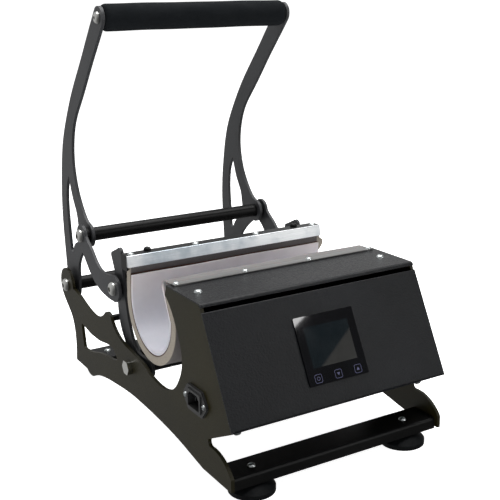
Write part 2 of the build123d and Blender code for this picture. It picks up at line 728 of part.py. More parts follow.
# ---- lever --------------------------------------------------------------------------------------------------
def lever_face():
    grip = GRIP_AXIS
    end = 13.0
    eye = LINK_PIVOT
    foot = LEVER_PIVOT
    face = outline(
        polar(grip, end, 42),
        [(312.3, 450), (350.3, 408), (379, 377), (406.8, 340), (426.4, 306), (438.4, 265), (445.2, 223),
         (446.4, 198), (445.4, 170), (442.6, 115.4)],
        [polar(foot, 20, -90), polar(foot, 20, 180)],
        [(399.4, 135), (396, 149), (388, 160), (376, 171), (366, 178)],
        [(359.5, 181.4), polar(eye, 15.5, -90)],
        [polar(eye, 15.5, 180), polar(eye, 15.5, 118)],
        [(358.5, 215), (372, 228), (384.6, 247), (392.2, 268), (394.6, 286), (392, 309), (379, 339),
         (360.6, 360), (344.4, 377), (317.6, 407), (295.5, 430.5), polar(grip, end, 222)],
        [polar(grip, end, 132), polar(grip, end, 42)],
    )
    slot = outline(
        (413.9, 262),
        [(421.4, 250), (426.4, 225), (425.4, 195), (422.9, 164)],
        [(418.7, 160.5), (413.9, 163)],
        [(407.4, 172.5), (396.4, 178.5)],
        [(388.7, 190), (389.2, 207)],
        [(392.4, 220.5), (401.4, 235), (407.4, 249), (411.2, 261)],
        [(412.6, 263.2), (413.9, 262)],
    )
    holes = disc(foot, BOLT_R) + disc(eye, BOLT_R) + disc(grip, GRIP_BOLT_R)
    return face - slot - holes


def lever_plate_left():
    return across(lever_face(), -LEVER_OUT, -LEVER_IN)


def lever_plate_right():
    return across(lever_face(), LEVER_IN, LEVER_OUT)


def tapped_rod(centre):
    """Cross rod with a blind threaded hole in each end."""
    bar = rod(centre, ROD_R, -LEVER_IN, LEVER_IN)
    hole = rod(centre, BOLT_R, -LEVER_IN, -LEVER_IN + BOLT_REACH)
    return bar - hole - mirrored(hole)


def lever_rod_rear():
    return tapped_rod(LEVER_PIVOT)


def lever_rod_front():
    return tapped_rod(LINK_PIVOT)


def pivot_bolt(centre):
    reach = HALF_WIDTH + PLAY - LEVER_IN + BOLT_REACH - 2
    return both(bolt_left(centre, -HALF_WIDTH - PLAY, BOLT_R, BOLT_HEAD_R, BOLT_HEAD_H, reach))


def lever_pivot_bolts():
    return pivot_bolt(LEVER_PIVOT)


def link_pivot_bolts():
    return pivot_bolt(LINK_PIVOT)


def spacer(centre, face_x):
    """Rings on a pivot bolt, between each outer plate and the inner plate whose outer face is at face_x."""
    return both(ring(centre, SPACER_R, BOLT_R, -INSIDE + PLAY, -face_x))


def lever_spacers():
    return Compound(children=[spacer(LEVER_PIVOT, LEVER_OUT), spacer(LINK_PIVOT, LEVER_OUT)])


def grip_tube():
    tube = ring(GRIP_AXIS, GRIP_TUBE_R, GRIP_BOLT_R + 1.5, -LEVER_IN, LEVER_IN)
    plug = ring(GRIP_AXIS, GRIP_BOLT_R + 1.5, GRIP_BOLT_R, -LEVER_IN, -LEVER_IN + 18)
    return tube + plug + mirrored(plug)


def grip_foam():
    """Foam sleeve with rounded ends."""
    half = LEVER_IN - 1.0
    lip = GRIP_TUBE_R + 0.6
    soft = GRIP_R - lip
    bulge = (GRIP_R - soft * 0.293, half - soft * 0.293)
    profile = make_face(
        [
            Line((GRIP_TUBE_R, -half), (lip, -half)),
            ThreePointArc((lip, -half), (bulge[0], -bulge[1]), (GRIP_R, -half + soft)),
            Line((GRIP_R, -half + soft), (GRIP_R, half - soft)),
            ThreePointArc((GRIP_R, half - soft), bulge, (lip, half)),
            Line((lip, half), (GRIP_TUBE_R, half)),
            Line((GRIP_TUBE_R, half), (GRIP_TUBE_R, -half)),
        ]
    )
    sleeve = revolve(Plane.XZ * profile, Axis.Z)
    place = Plane(origin=(0, GRIP_AXIS[0], GRIP_AXIS[1]), x_dir=(0, 1, 0), z_dir=(1, 0, 0))
    return place * sleeve


def grip_bolts():
    return both(bolt_left(GRIP_AXIS, -LEVER_OUT, GRIP_BOLT_R, GRIP_HEAD_R + 1, 4.2, PLATE + 16, 2.2))


# ---- links --------------------------------------------------------------------------------------------------
def link_face():
    eye = LINK_PIVOT
    low = ARM_LINK_PIVOT
    face = outline(
        polar(low, 16.5, -82),
        [(274, 137), (288, 138.5), (311, 144.5), (325.6, 152.5), (339.6, 164), (351.7, 175.8), (362, 184.5),
         polar(eye, 14.5, -20)],
        [polar(eye, 14.5, 75), polar(eye, 14.5, 170)],
        [(332, 193), (323, 187), (311, 176.5), (297, 168.5), (283, 166), (268, 167.5), polar(low, 16.5, 80)],
        [polar(low, 16.5, 180), polar(low, 16.5, -82)],
    )
    return face - disc(low, BOLT_R)


def link_left():
    return across(link_face() - disc(LINK_PIVOT, BOLT_R + RUNNING), -HALF_WIDTH, -INSIDE)


def link_right():
    return mirrored(link_left())


def link_end_bolts():
    """Bolts of the opened pivot: they stop just short of the clamp arms."""
    reach = HALF_WIDTH - ARM_OUT - OPEN_PIVOT
    return both(bolt_left(ARM_LINK_PIVOT, -HALF_WIDTH, BOLT_R, BOLT_HEAD_R, BOLT_HEAD_H, reach))


def link_end_spacers():
    return both(ring(ARM_LINK_PIVOT, SPACER_R, BOLT_R, -INSIDE, -ARM_OUT - OPEN_PIVOT))


# ---- clamp --------------------------------------------------------------------------------------------------
def arm_face():
    foot = ARM_PIVOT
    face = outline(
        (240, 77),
        [(247, 86), (256, 98), (261, 108), (264, 121), (265, 135), (266.5, 152), (270, 172.5)],
        [(277.2, 187.5)],
        [(277.8, 191), (275.2, 193.6)],
        [(256.5, 201.8)],
        [(250, 202.8), (246.4, 198.4)],
        [(244.6, 175), (242, 152), (240, 138), (234, 114), (228.5, 101.5), (217, 88)],
        [(210, 84.8), (203, 84)],
        [(179, 85)],
        [(173.6, 81), (172.2, 74.5)],
        [(174.5, 68), (181, 66.5)],
        [(196.5, 60)],
        [polar(foot, 20, -85), (236.8, 70.5)],
        [(238, 74.5), (240, 77)],
    )
    holes = disc(foot, BOLT_R) + disc(ARM_LINK_PIVOT, BOLT_R)
    return face - holes


def arm_left():
    return across(arm_face(), -ARM_OUT, -ARM_IN)


def arm_right():
    return across(arm_face(), ARM_IN, ARM_OUT)


def arm_pivot_bolts():
    """Hexagon bolts that the side plates carry the clamp arms on."""
    head = extrude(RegularPolygon(NUT_FLATS / 2, 6, major_radius=False), 6.0)
    head = head & extrude(Circle(NUT_FLATS * 0.56), 6.0)
    length = HALF_WIDTH + PLAY - ARM_IN + NUT_H
    shank = Pos(0, 0, -length) * extrude(Circle(BOLT_R), length)
    origin = (-HALF_WIDTH - PLAY, ARM_PIVOT[0], ARM_PIVOT[1])
    place = Plane(origin=origin, x_dir=(0, 1, 0), z_dir=(-1, 0, 0))
    return both(place * (head + shank))


def hex_nut(centre, bore):
    place = Plane(origin=(-ARM_IN, centre[0], centre[1]), x_dir=(0, 1, 0), z_dir=(1, 0, 0))
    nut = extrude(RegularPolygon(NUT_FLATS / 2, 6, major_radius=False), NUT_H)
    if bore:
        nut = nut - extrude(Circle(BOLT_R), NUT_H)
    return place * nut


def arm_pivot_nuts():
    return both(hex_nut(ARM_PIVOT, True))


def link_end_nuts():
    """Nut and threaded end that stay on each arm at the opened pivot."""
    stub = rod(ARM_LINK_PIVOT, BOLT_R, -ARM_OUT, -ARM_IN)
    return both(hex_nut(ARM_LINK_PIVOT, False) + stub)


def arm_spacers():
    return spacer(ARM_PIVOT, ARM_OUT)


def foot_bar():
    return rod(FOOT_BAR, FOOT_BAR_R, -ARM_IN, ARM_IN)


def clamp_bar():
    """Polished bar along the front of the clamp, over the end of the mat."""
    y, z = BAR_FRONT
    top = BAR_TOP_Z
    lip = outline(
        (y, z),
        [(y + BAR_LEAN - 0.3, top - 1.3)],
        [(y + BAR_LEAN, top - 0.35), (y + BAR_LEAN + 0.9, top)],
        [(BAR_STEP_Y, top)],
        [(BAR_STEP_Y, z)],
    )
    rear = outline(
        (BAR_STEP_Y, z),
        [(BAR_STEP_Y, top - BRACKET_T)],
        [(BAR_REAR, top - BRACKET_T)],
        [(BAR_REAR, z)],
    )
    bar = across(lip, -BAR_HALF, BAR_HALF) + across(rear, -BAR_REAR_HALF, BAR_REAR_HALF)
    for x in mat_screw_x():
        bar = bar - Pos(x, BAR_SCREW_Y, z) * extrude(Circle(SCREW_R), top - z)
    return bar


def bar_bracket():
    """Folded bracket: a flange over the bar, an upright wall, a shelf between the arms, and two end cheeks."""
    top = BAR_TOP_Z
    wall = BRACKET_WALL
    shelf_z, shelf_rear = BRACKET_SHELF
    fold = outline(
        (BAR_STEP_Y, top),
        [(wall - 2.5, top)],
        [(wall - 0.7, top - 0.7), (wall, top - 2.5)],
        [(wall, shelf_z)],
        [(wall - BRACKET_T, shelf_z)],
        [(wall - BRACKET_T, top - 2.5)],
        [(wall - BRACKET_T - 0.2, top - BRACKET_T - 0.2), (wall - 2.5, top - BRACKET_T)],
        [(BAR_STEP_Y, top - BRACKET_T)],
    )
    bracket = across(fold, -BAR_REAR_HALF, BAR_REAR_HALF)
    shelf = Pos((wall + shelf_rear) / 2, shelf_z + BRACKET_T / 2) * Rectangle(shelf_rear - wall, BRACKET_T)
    bracket = bracket + across(shelf, -ARM_IN, ARM_IN)
    tab = outline((246, shelf_z + BRACKET_T), [(246, 178)], [(shelf_rear, 178)], [(shelf_rear, shelf_z + BRACKET_T)])
    bracket = bracket + both(across(tab, -ARM_IN, -ARM_IN + BRACKET_T))
    cheek = outline(
        (BAR_STEP_Y, top),
        [(BAR_STEP_Y, CHEEK_Z + 3)],
        [(BAR_STEP_Y + 0.9, CHEEK_Z + 0.9), (BAR_STEP_Y + 3, CHEEK_Z)],
        [(wall, CHEEK_Z)],
        [(wall, top - 2.5)],
        [(wall - 0.7, top - 0.7), (wall - 2.5, top)],
    )
    bracket = bracket + both(across(cheek, -BAR_REAR_HALF - BRACKET_T, -BAR_REAR_HALF))
    for x in mat_screw_x():
        bracket = bracket - Pos(x, BAR_SCREW_Y, top - BRACKET_T) * extrude(Circle(SCREW_R), BRACKET_T)
    for side in (-1, 1):
        place = Pos(side * BRACKET_BOLT[0], BRACKET_BOLT[1], top - BRACKET_T)
        bracket = bracket - place * extrude(Circle(1.5), BRACKET_T)
    return bracket


def bracket_bolts():
    """Two domed black bolts on the bracket's flange."""
    bolt = button_bolt(1.5, 4.5, 3.9, 7, 1.5)
    return Compound(children=[Pos(side * BRACKET_BOLT[0], BRACKET_BOLT[1], BAR_TOP_Z) * bolt for side in (-1, 1)])


def clamp_bar_screws():
    screw = pan_screw(SCREW_R, SCREW_HEAD_R + 0.6, 2.4, BAR_TOP_Z - BAR_FRONT[1])
    return Compound(children=[Pos(x, BAR_SCREW_Y, BAR_TOP_Z) * screw for x in mat_screw_x()])


# ---- nodes ----------------------------------------------------------------------------------------------
NODES = {
    "side_plate_left": side_plate_left,
    "side_plate_right": side_plate_right,
    "front_rail": front_rail,
    "rear_rail": rear_rail,
    "suction_feet": suction_feet,
    "foot_screws": foot_screws,
    "stop_rod": stop_rod,
    "front_panel": front_panel,
    "top_cover": top_cover,
    "back_tray": back_tray,
    "cover_screws": cover_screws,
    "mat_strip": mat_strip,
    "mat_strip_screws": mat_strip_screws,
    "display_glass": display_glass,
    "touch_keys": touch_keys,
    "display_screen": display_screen,
    "display_board": display_board,
    "board_pillars": board_pillars,
    "power_board": power_board,
    "power_parts": power_parts,
    "terminal_block": terminal_block,
    "board_spacers": board_spacers,
    "inlet_body": inlet_body,
    "inlet_pins": inlet_pins,
    "inlet_screws": inlet_screws,
    "mat_front_pad": mat_front_pad,
    "mat_front_cover": mat_front_cover,
    "lever_plate_left": lever_plate_left,
    "lever_plate_right": lever_plate_right,
    "lever_rod_rear": lever_rod_rear,
    "lever_rod_front": lever_rod_front,
    "lever_pivot_bolts": lever_pivot_bolts,
    "link_pivot_bolts": link_pivot_bolts,
    "lever_spacers": lever_spacers,
    "grip_tube": grip_tube,
    "grip_foam": grip_foam,
    "grip_bolts": grip_bolts,
    "link_left": link_left,
    "link_right": link_right,
    "link_end_bolts": link_end_bolts,
    "link_end_spacers": link_end_spacers,
    "arm_left": arm_left,
    "arm_right": arm_right,
    "arm_pivot_bolts": arm_pivot_bolts,
    "arm_pivot_nuts": arm_pivot_nuts,
    "link_end_nuts": link_end_nuts,
    "arm_spacers": arm_spacers,
    "foot_bar": foot_bar,
    "clamp_bar": clamp_bar,
    "bar_bracket": bar_bracket,
    "bracket_bolts": bracket_bolts,
    "clamp_bar_screws": clamp_bar_screws,
    "mat_rear_pad": mat_rear_pad,
    "mat_rear_cover": mat_rear_cover,
}


def write(name, shape):
    export_step(Pos(0, -CENTRE_Y, 0) * shape, f"parts/{name}.step")


if __name__ == "__main__":
    os.makedirs("parts", exist_ok=True)
    for node_name, make in NODES.items():
        write(node_name, make())
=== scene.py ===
"""Mug heat press: materials, softened plates, heating mat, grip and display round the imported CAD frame."""
import json
import math

import bmesh
import bpy
from mathutils import Matrix, Vector
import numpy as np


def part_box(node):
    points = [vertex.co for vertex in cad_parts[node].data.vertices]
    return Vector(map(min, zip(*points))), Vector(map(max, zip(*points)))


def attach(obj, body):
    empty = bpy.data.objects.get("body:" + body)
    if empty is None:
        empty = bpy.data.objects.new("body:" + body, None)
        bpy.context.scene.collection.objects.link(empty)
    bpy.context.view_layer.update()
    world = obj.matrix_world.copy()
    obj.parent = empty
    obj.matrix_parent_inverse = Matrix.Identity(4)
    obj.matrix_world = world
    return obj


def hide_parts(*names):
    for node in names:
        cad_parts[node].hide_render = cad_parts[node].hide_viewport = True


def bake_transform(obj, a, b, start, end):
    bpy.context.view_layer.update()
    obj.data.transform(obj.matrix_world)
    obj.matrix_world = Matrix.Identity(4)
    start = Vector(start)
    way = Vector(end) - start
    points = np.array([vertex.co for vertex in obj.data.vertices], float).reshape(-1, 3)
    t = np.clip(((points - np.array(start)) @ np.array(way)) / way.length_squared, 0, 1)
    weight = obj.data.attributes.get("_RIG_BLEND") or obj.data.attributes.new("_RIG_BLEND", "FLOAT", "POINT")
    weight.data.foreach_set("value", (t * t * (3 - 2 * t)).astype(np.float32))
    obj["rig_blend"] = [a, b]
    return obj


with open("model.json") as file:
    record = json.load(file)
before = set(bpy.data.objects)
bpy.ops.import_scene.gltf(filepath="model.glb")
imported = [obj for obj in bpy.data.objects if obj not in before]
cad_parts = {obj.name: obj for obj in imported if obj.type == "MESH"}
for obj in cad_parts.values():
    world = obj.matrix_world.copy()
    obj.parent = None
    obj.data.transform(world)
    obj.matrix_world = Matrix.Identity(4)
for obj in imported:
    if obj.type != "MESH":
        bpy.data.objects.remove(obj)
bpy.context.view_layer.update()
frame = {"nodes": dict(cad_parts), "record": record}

NODES = frame["nodes"]
SLOT_OF = {part["node"]: part["material_slot"] for part in frame["record"]["subparts"]}
BODY = {node: body for body, nodes in frame["record"]["behaviour"]["bodies"].items() for node in nodes}

# ---- camera -------------------------------------------------------------------------------------------
CAMERA_AT = Vector((-0.5313, -0.9473, 0.4873))
CAMERA_YAW = math.radians(30.57)  # to the right of +Y
CAMERA_PITCH = math.radians(15.30)  # below the horizon
CAMERA_ROLL = math.radians(-0.98)
CAMERA_LENS = 66.97

# ---- places, in metres --------------------------------------------------------------------------------
CY = 0.2102  # the CAD's bench y of the origin
BOX_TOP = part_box("top_cover")[1][2]

# the mat: its U bends round MAT_AXIS, and each flank leans by this much over its height
MAT_AXIS = (0.1630 - CY, 0.1525)
MAT_FRONT_LEAN = 0.015
MAT_REAR_LEAN = 0.004
MAT_FRONT_TOP = 0.1860
MAT_REAR_TOP = 0.1896
MAT_WAVE = 0.0005  # unevenness of its surfaces
# its three layers, from the inside: radii, half-widths and edges
PAD_RADII = (0.0485, 0.0520)
PAD_HALF_WIDTH = 0.1296
PAD_REAR_TOP = 0.1810
PAD_FACE = 0.1295 - CY  # inner face of the pad at the top of its front flank
FLAP_END = 0.0982 - CY  # front edge of the flap that the pad continues in
SKIN_RADII = (0.0520, 0.0531)
SKIN_HALF_WIDTH = 0.1299
SKIN_TOPS = (0.1818, 0.1822)  # front and rear
COVER_RADII = (0.0531, 0.0634)
COVER_HALF_WIDTH = 0.1300
COVER_FRONT_TOP = 0.1815
# the cover's rear right corner spreads by FLARE, over this width and between these heights
FLARE = 0.009
FLARE_WIDTH = 0.016
FLARE_RISES = (0.163, 0.180)
FLARE_FALLS = (0.1825, 0.1900)
# steps of the mat's mesh: up a flank, round the bottom and across
FLANK_STEPS = 12
TURN_STEPS = 40
ACROSS_STEPS = 44

# the display
PANEL_RUN = (0.0591, 0.1147)  # how far the control panel goes back and up
SCREEN_SPAN = (0.0417, 0.0845)  # lower and upper edge of the lit area, up the panel
GLASS_MIDDLE = 0.0600
SCREEN_PROUD = 0.00083  # of the lit film, in front of the middle of the glass
FILM_DEPTH = 0.00012

# the grip: its ends round off over this length, and come in by this much
GRIP_END_ROUND = 0.005
GRIP_END_DROP = 0.0052
GRIP_BORE = 0.0092

# rounded rims: their widths, and the least turn of an edge that gets one, in degrees
MAT_RIM = 0.0006
PLATE_RIM = 0.00045
SHEET_RIM = 0.0003
PANEL_RIM = 0.0007
MAT_TURN = 50
METAL_TURN = 32.0

# ---- where colours change, in metres ------------------------------------------------------------------
# the pad's tone by height: painted light up its flanks, and painted shade on the flap
PAD_PAINTED_LIGHT_SPAN = (0.125, 0.178)
FLAP_PAINTED_SHADE_SPAN = (0.187, 0.194)
CUT_END = (0.1288, 0.1297)
# the screen's two tones are a painted reflection, split on a diagonal
REFLECTION_EDGE_SLOPE = 0.633  # of the line between the screen's two tones
REFLECTION_EDGE_SPAN = (0.1277, 0.1317)

# ---- light --------------------------------------------------------------------------------------------
SKY_SIDE = Vector((-0.25, 0.75, 0.60)).normalized()
SKY_DIM = 0.10
SKY_BRIGHT = 0.62
SKY_SPAN = (-0.75, 0.95)  # how squarely a direction faces SKY_SIDE at the sky's dim and bright ends
BACKDROP = 1.4  # strength of the plain white that the camera sees
WINDOW_AT = Vector((0.8165, -1.3595, 0.868))
WINDOW_AWAY = Vector((0.526, -0.727, 0.440)).normalized()
WINDOW_ALONG = Vector((0.886, 0.435, 0.161))
WINDOW_SIZE = (0.40, 0.16)
WINDOW_SHIFT = (0.032, 0.0130)  # along and up, of the middle of its lower edge
WINDOW_TILT = math.radians(13.0)


def make_camera():
    camera = bpy.data.cameras.new("camera")
    camera.lens = CAMERA_LENS
    camera.sensor_width = 36.0
    camera.clip_start = 0.05
    camera.clip_end = 30.0
    holder = bpy.data.objects.new("camera", camera)
    bpy.context.scene.collection.objects.link(holder)
    turn = Matrix.Rotation(-CAMERA_YAW, 4, "Z") @ Matrix.Rotation(math.pi / 2 - CAMERA_PITCH, 4, "X")
    turn = turn @ Matrix.Rotation(CAMERA_ROLL, 4, "Z")
    holder.matrix_world = Matrix.Translation(CAMERA_AT) @ turn
    bpy.context.scene.camera = holder


# ---- materials ----------------------------------------------------------------------------------------
class Shade:
    """A Principled material whose textures follow the object's own coordinates, in metres."""

    def __init__(self, name, **sockets):
        self.material = bpy.data.materials.new(name)
        self.material.use_nodes = True
        self.tree = self.material.node_tree
        self.tree.nodes.clear()
        out = self.tree.nodes.new("ShaderNodeOutputMaterial")
        self.shader = self.tree.nodes.new("ShaderNodeBsdfPrincipled")
        self.tree.links.new(self.shader.outputs[0], out.inputs["Surface"])
        self.place = self.tree.nodes.new("ShaderNodeTexCoord").outputs["Object"]
        for key, value in sockets.items():
            self.shader.inputs[key.replace("_", " ")].default_value = value

    def node(self, kind, links=(), **settings):
        made = self.tree.nodes.new(kind)
        for key, value in settings.items():
            setattr(made, key, value)
        for key, value in dict(links).items():
            if isinstance(value, bpy.types.NodeSocket):
                self.tree.links.new(value, made.inputs[key])
            else:
                made.inputs[key].default_value = value
        return made

    def stretched(self, x, y, z):
        """Coordinates scaled along each axis, for grain with a direction."""
        return self.node("ShaderNodeMapping", {"Vector": self.place, "Scale": (x, y, z)}).outputs[0]

    def noise(self, scale, detail=3.0, roughness=0.5, place=None):
        links = {"Vector": place or self.place, "Scale": scale, "Detail": detail, "Roughness": roughness}
        return self.node("ShaderNodeTexNoise", links).outputs["Fac"]

    def cells(self, scale):
        return self.node("ShaderNodeTexVoronoi", {"Vector": self.place, "Scale": scale}).outputs["Distance"]

    def axis(self, letter):
        """One of the object's own coordinates, X, Y or Z."""
        return self.node("ShaderNodeSeparateXYZ", {"Vector": self.place}).outputs[letter]

    def math(self, operation, *values):
        return self.node("ShaderNodeMath", dict(enumerate(values)), operation=operation).outputs[0]

    def ramp(self, value, *stops):
        """Colour or grey level from a value, through (position, colour) stops."""
        node = self.node("ShaderNodeValToRGB", {"Fac": value})
        points = node.color_ramp.elements
        while len(points) < len(stops):
            points.new(0.5)
        for point, (position, colour) in zip(points, stops):
            point.position = position
            point.color = (*colour, 1.0)
        return node.outputs["Color"]

    def span(self, value, low, high, to_low, to_high):
        links = {"Value": value, "From Min": low, "From Max": high, "To Min": to_low, "To Max": to_high}
        return self.node("ShaderNodeMapRange", links).outputs["Result"]

    def mixed(self, factor, a, b, blend_type="MIX"):
        node = self.node("ShaderNodeMix", data_type="RGBA", blend_type=blend_type)
        for key, value in ((0, factor), (6, a), (7, b)):
            if isinstance(value, bpy.types.NodeSocket):
                self.tree.links.new(value, node.inputs[key])
            else:
                node.inputs[key].default_value = value
        return node.outputs[2]

    def colour(self, socket):
        self.tree.links.new(socket, self.shader.inputs["Base Color"])
        return self

    def rough(self, socket):
        self.tree.links.new(socket, self.shader.inputs["Roughness"])
        return self

    def bump(self, height, strength, distance):
        links = {"Height": height, "Strength": strength, "Distance": distance}
        bump = self.node("ShaderNodeBump", links)
        self.tree.links.new(bump.outputs["Normal"], self.shader.inputs["Normal"])
        return self


def paint(name, dark, light, roughness, grain, depth, specular):
    """Powder-coat: a fine pebbled skin with slow drift in its colour and gloss."""
    shade = Shade(name, Specular_IOR_Level=specular)
    drift = shade.noise(9.0, 4.0)
    shade.colour(shade.ramp(drift, (0.3, dark), (0.7, light)))
    pebble = shade.noise(grain, 3.0, 0.6)
    shade.rough(shade.span(pebble, 0.3, 0.7, roughness - 0.06, roughness + 0.08))
    shade.bump(pebble, 0.5, depth)
    return shade.material


def metal(name, tint, roughness, grain_place, grain, depth):
    shade = Shade(name, Metallic=1.0)
    place = shade.stretched(*grain_place)
    lines = shade.noise(grain, 4.0, 0.6, place)
    shade.colour(shade.ramp(lines, (0.25, [c * 0.86 for c in tint]), (0.75, tint)))
    shade.rough(shade.span(shade.noise(16.0, 2.0, 0.4, place), 0.3, 0.7, roughness * 0.85, roughness * 1.2))
    shade.bump(lines, 0.25, depth)
    return shade.material


# name, dark tone, light tone, roughness, size of the grain, its depth, specular level
PAINTS = (
    ("side_paint", (0.0090, 0.0075, 0.0012), (0.0135, 0.0112, 0.0020), 0.42, 1500.0, 0.00006, 0.24),
    ("plate_paint", (0.022, 0.023, 0.025), (0.030, 0.031, 0.034), 0.45, 1500.0, 0.00006, 0.45),
    ("rod_paint", (0.004, 0.004, 0.004), (0.007, 0.007, 0.007), 0.28, 1300.0, 0.00005, 0.13),
    ("rail_paint", (0.002, 0.002, 0.002), (0.004, 0.004, 0.004), 0.36, 1300.0, 0.00008, 0.20),
    ("box_paint", (0.0022, 0.0027, 0.0035), (0.0045, 0.0052, 0.0066), 0.34, 430.0, 0.0012, 0.25),
    ("component_black", (0.010, 0.010, 0.010), (0.020, 0.020, 0.020), 0.40, 800.0, 0.0001, 0.5),
)
# name, tint, roughness, stretch of the brushing along each axis, its size and its depth
METALS = (
    ("bolt_chrome", (0.80, 0.80, 0.77), 0.13, (1, 1, 1), 500.0, 0.00003),
    ("screw_zinc", (0.70, 0.74, 0.74), 0.30, (1, 1, 1), 700.0, 0.00004),
    ("tube_steel", (0.30, 0.30, 0.295), 0.42, (0.05, 1, 1), 900.0, 0.00003),
)


def bar_metal(name):
    """Brushed metal with clouded patches, along the clamp bar."""
    bar = Shade(name, Metallic=1.0)
    lines = bar.noise(1400.0, 4.0, 0.6, bar.stretched(0.03, 1, 1))
    cloud = bar.noise(13.0, 5.0, 0.62)
    tone = bar.ramp(cloud, (0.36, (0.46, 0.53, 0.585)), (0.60, (0.90, 0.92, 0.93)))
    brushed = bar.ramp(lines, (0.25, (0.80, 0.80, 0.80)), (0.75, (1.0, 1.0, 1.0)))
    bar.colour(bar.mixed(1.0, tone, brushed, "MULTIPLY"))
    bar.rough(bar.span(cloud, 0.3, 0.7, 0.42, 0.30)).bump(lines, 0.25, 0.00002)
    return bar.material


def foam_rubber(name):
    """Dull foam with fine pores, for the grip."""
    foam = Shade(name, Specular_IOR_Level=0.12)
    pores = foam.cells(1100.0)
    foam.colour(foam.ramp(pores, (0.0, (0.002, 0.0028, 0.0035)), (0.6, (0.006, 0.0075, 0.009))))
    foam.rough(foam.span(foam.noise(60.0), 0.3, 0.7, 0.80, 0.95)).bump(pores, 0.6, 0.0003)
    return foam.material


def foot_rubber(name):
    rubber = Shade(name, Specular_IOR_Level=0.10)
    skin = rubber.noise(260.0, 4.0)
    rubber.colour(rubber.ramp(skin, (0.3, (0.003, 0.0035, 0.004)), (0.7, (0.006, 0.007, 0.008))))
    rubber.rough(rubber.span(skin, 0.3, 0.7, 0.42, 0.60)).bump(skin, 0.3, 0.0001)
    return rubber.material


def pad_silicone_painted_light(name):
    """Pale silicone, toned by height as painted light and shade: cooler at the bottom of the U, warmer up
    its flanks, and in painted shade on the clamped flap.
    """
    silicone = Shade(name, Subsurface_Weight=0.08, Subsurface_Scale=0.004)
    cloth = silicone.noise(40.0, 5.0, 0.55)
    # low and high are painted light on one silicone, and flap is painted shade
    low = silicone.ramp(cloth, (0.3, (0.40, 0.40, 0.445)), (0.7, (0.455, 0.455, 0.50)))
    high = silicone.ramp(cloth, (0.3, (0.50, 0.465, 0.475)), (0.7, (0.56, 0.525, 0.535)))
    flap = silicone.ramp(cloth, (0.3, (0.15, 0.142, 0.140)), (0.7, (0.19, 0.180, 0.177)))
    height = silicone.axis("Z")
    flank = silicone.mixed(silicone.span(height, *PAD_PAINTED_LIGHT_SPAN, 0.0, 1.0), low, high)
    silicone.colour(silicone.mixed(silicone.span(height, *FLAP_PAINTED_SHADE_SPAN, 0.0, 1.0), flank, flap))
    silicone.rough(silicone.span(cloth, 0.3, 0.7, 0.45, 0.62)).bump(silicone.noise(900.0), 0.3, 0.0001)
    return silicone.material


def cover_foam(name):
    """Open-pored insulation, with a dark face and a paler core where its ends are cut."""
    cover = Shade(name, Specular_IOR_Level=0.25)
    pores = cover.cells(1400.0)
    face = cover.ramp(pores, (0.0, (0.070, 0.062, 0.060)), (0.5, (0.115, 0.105, 0.103)))
    core = cover.ramp(pores, (0.0, (0.13, 0.113, 0.092)), (0.5, (0.265, 0.236, 0.198)))
    reach = cover.math("ABSOLUTE", cover.axis("X"))
    cover.colour(cover.mixed(cover.span(reach, *CUT_END, 0.0, 1.0), face, core))
    cover.rough(cover.span(pores, 0.0, 0.7, 0.70, 0.90)).bump(pores, 0.5, 0.0003)
    return cover.material


def bond_skin(name):
    bond = Shade(name, Specular_IOR_Level=0.2)
    stain = bond.noise(420.0, 4.0)
    bond.colour(bond.ramp(stain, (0.3, (0.040, 0.020, 0.015)), (0.7, (0.085, 0.042, 0.032))))
    bond.rough(bond.span(stain, 0.3, 0.7, 0.6, 0.8)).bump(stain, 0.3, 0.0001)
    return bond.material


def panel_glass(name):
    glass = Shade(name, IOR=1.5)
    smear = glass.noise(30.0, 5.0)
    glass.colour(glass.ramp(smear, (0.3, (0.0010, 0.0011, 0.0016)), (0.7, (0.0022, 0.0024, 0.0034))))
    glass.rough(glass.span(smear, 0.3, 0.7, 0.02, 0.05))
    return glass.material


def screen_painted_reflection(name):
    """Dim screen with a painted reflection: two tones which meet on a diagonal."""
    screen = Shade(name, IOR=1.5)
    slope = screen.math("MULTIPLY", screen.axis("X"), REFLECTION_EDGE_SLOPE)
    above = screen.math("SUBTRACT", screen.axis("Z"), slope)
    haze = screen.noise(60.0, 4.0)
    # cool and warm are the two tones of the painted reflection
    cool = screen.ramp(haze, (0.3, (0.003, 0.006, 0.008)), (0.7, (0.006, 0.009, 0.011)))
    warm = screen.ramp(haze, (0.3, (0.024, 0.024, 0.023)), (0.7, (0.029, 0.029, 0.028)))
    screen.colour(screen.mixed(screen.span(above, *REFLECTION_EDGE_SPAN, 0.0, 1.0), warm, cool))
    screen.rough(screen.span(haze, 0.3, 0.7, 0.02, 0.05))
    return screen.material


def key_light(name):
    lit = Shade(name, Emission_Strength=0.10)
    colour = lit.ramp(lit.noise(800.0), (0.3, (0.045, 0.045, 0.10)), (0.7, (0.060, 0.065, 0.14)))
    lit.colour(colour)
    lit.tree.links.new(colour, lit.shader.inputs["Emission Color"])
    return lit.material


def circuit_board(name):
    board = Shade(name)
    tracks = board.noise(120.0, 2.0)
    board.colour(board.ramp(tracks, (0.45, (0.02, 0.10, 0.04)), (0.55, (0.03, 0.16, 0.06))))
    board.rough(board.span(tracks, 0.3, 0.7, 0.35, 0.5))
    return board.material


OTHER_MATERIALS = {
    "bar_polished": bar_metal,
    "grip_foam": foam_rubber,
    "foot_rubber": foot_rubber,
    "heater_silicone": pad_silicone_painted_light,
    "mat_cover": cover_foam,
    "mat_skin": bond_skin,
    "display_glass": panel_glass,
    "display_screen": screen_painted_reflection,
    "key_light": key_light,
    "board": circuit_board,
}


def make_materials():
    """Every material by its name."""
    made = {row[0]: paint(*row) for row in PAINTS}
    made.update({row[0]: metal(*row) for row in METALS})
    made.update({name: make(name) for name, make in OTHER_MATERIALS.items()})
    return made


